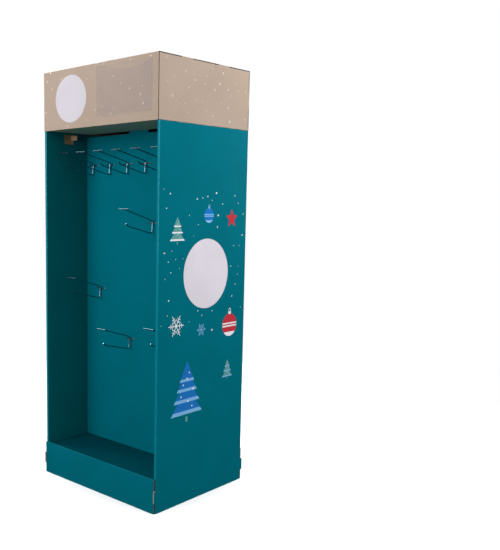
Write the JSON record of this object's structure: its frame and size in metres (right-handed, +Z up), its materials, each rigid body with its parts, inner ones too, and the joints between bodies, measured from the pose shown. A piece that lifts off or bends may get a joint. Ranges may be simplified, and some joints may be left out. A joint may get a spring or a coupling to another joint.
{
  "type": "cardboard display stand",
  "caption": "Free-standing two-sided cardboard floor stand with a lipped shelf bay on each side, wire hooks on a central pegged spine and a boxed header with clear sign pockets.",
  "frame": {"origin": "on the floor under the middle of the stand", "axes": "+Z up, the front with its lip and header sign faces -Y, +X to the right of a person facing the front"},
  "size_m": [0.612, 0.5206, 1.6],
  "materials": {
    "teal_board": "printed corrugated board, satin varnish",
    "kraft_board": "corrugated board printed in a pale kraft tone, satin",
    "clear_film": "clear glossy film",
    "zinc_wire": "bright zinc-plated wire"
  },
  "bodies": {
    "root": {"side_wall_left": "teal_board", "side_wall_right": "teal_board", "spine": "teal_board", "base_front": "teal_board", "base_rear": "teal_board", "shelf_front": "teal_board", "shelf_rear": "teal_board", "header_wrap": "kraft_board", "header_side_left": "kraft_board", "header_side_right": "kraft_board", "sign_pocket_front": "clear_film", "sign_pocket_rear": "clear_film", "hook_front_1": "zinc_wire", "hook_front_2": "zinc_wire", "hook_front_3": "zinc_wire", "hook_front_4": "zinc_wire", "hook_front_5": "zinc_wire", "hook_front_6": "zinc_wire", "hook_front_7": "zinc_wire", "hook_front_8": "zinc_wire", "hook_front_9": "zinc_wire", "hook_front_10": "zinc_wire", "hook_rear_1": "zinc_wire", "hook_rear_2": "zinc_wire", "hook_rear_3": "zinc_wire", "hook_rear_4": "zinc_wire", "hook_rear_5": "zinc_wire", "hook_rear_6": "zinc_wire", "hook_rear_7": "zinc_wire", "hook_rear_8": "zinc_wire"}
  },
  "joints": []
}
